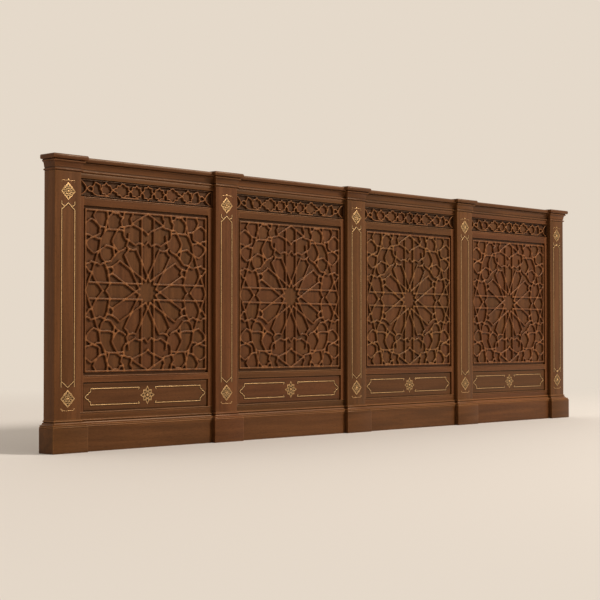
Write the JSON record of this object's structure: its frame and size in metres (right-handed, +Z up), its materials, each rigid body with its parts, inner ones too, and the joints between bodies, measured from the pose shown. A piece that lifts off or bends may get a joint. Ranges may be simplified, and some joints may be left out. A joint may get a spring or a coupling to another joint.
{
  "type": "mashrabiya screen",
  "caption": "Low carved timber screen of posts and framed solid panels with star strapwork, a carved frieze, moulded plinth and cornice, and gilt line inlay.",
  "frame": {"origin": "centre of the footprint, on the floor", "axes": "+X along the screen to the right as seen from the carved front, +Y from the carved front to the plain back, +Z up"},
  "size_m": [3.67, 0.094, 1.2],
  "materials": {
    "walnut": "brown walnut, hand-rubbed satin, darker in the carving",
    "gilding": "satin gilt line inlay, slightly worn"
  },
  "bodies": {
    "root": {"plinth_block_1": "walnut", "post_1": "walnut", "capital_1": "walnut", "post_inlay_1": "gilding", "plinth_block_2": "walnut", "post_2": "walnut", "capital_2": "walnut", "post_inlay_2": "gilding", "plinth_block_3": "walnut", "post_3": "walnut", "capital_3": "walnut", "post_inlay_3": "gilding", "plinth_block_4": "walnut", "post_4": "walnut", "capital_4": "walnut", "post_inlay_4": "gilding", "plinth_block_5": "walnut", "post_5": "walnut", "capital_5": "walnut", "post_inlay_5": "gilding", "base_rail_1": "walnut", "stile_left_1": "walnut", "stile_right_1": "walnut", "dado_panel_1": "walnut", "dado_inlay_1": "gilding", "mid_rail_1": "walnut", "main_panel_1": "walnut", "frieze_rail_1": "walnut", "frieze_1": "walnut", "cornice_1": "walnut", "base_rail_2": "walnut", "stile_left_2": "walnut", "stile_right_2": "walnut", "dado_panel_2": "walnut", "dado_inlay_2": "gilding", "mid_rail_2": "walnut", "main_panel_2": "walnut", "frieze_rail_2": "walnut", "frieze_2": "walnut", "cornice_2": "walnut", "base_rail_3": "walnut", "stile_left_3": "walnut", "stile_right_3": "walnut", "dado_panel_3": "walnut", "dado_inlay_3": "gilding", "mid_rail_3": "walnut", "main_panel_3": "walnut", "frieze_rail_3": "walnut", "frieze_3": "walnut", "cornice_3": "walnut", "base_rail_4": "walnut", "stile_left_4": "walnut", "stile_right_4": "walnut", "dado_panel_4": "walnut", "dado_inlay_4": "gilding", "mid_rail_4": "walnut", "main_panel_4": "walnut", "frieze_rail_4": "walnut", "frieze_4": "walnut", "cornice_4": "walnut"}
  },
  "joints": []
}
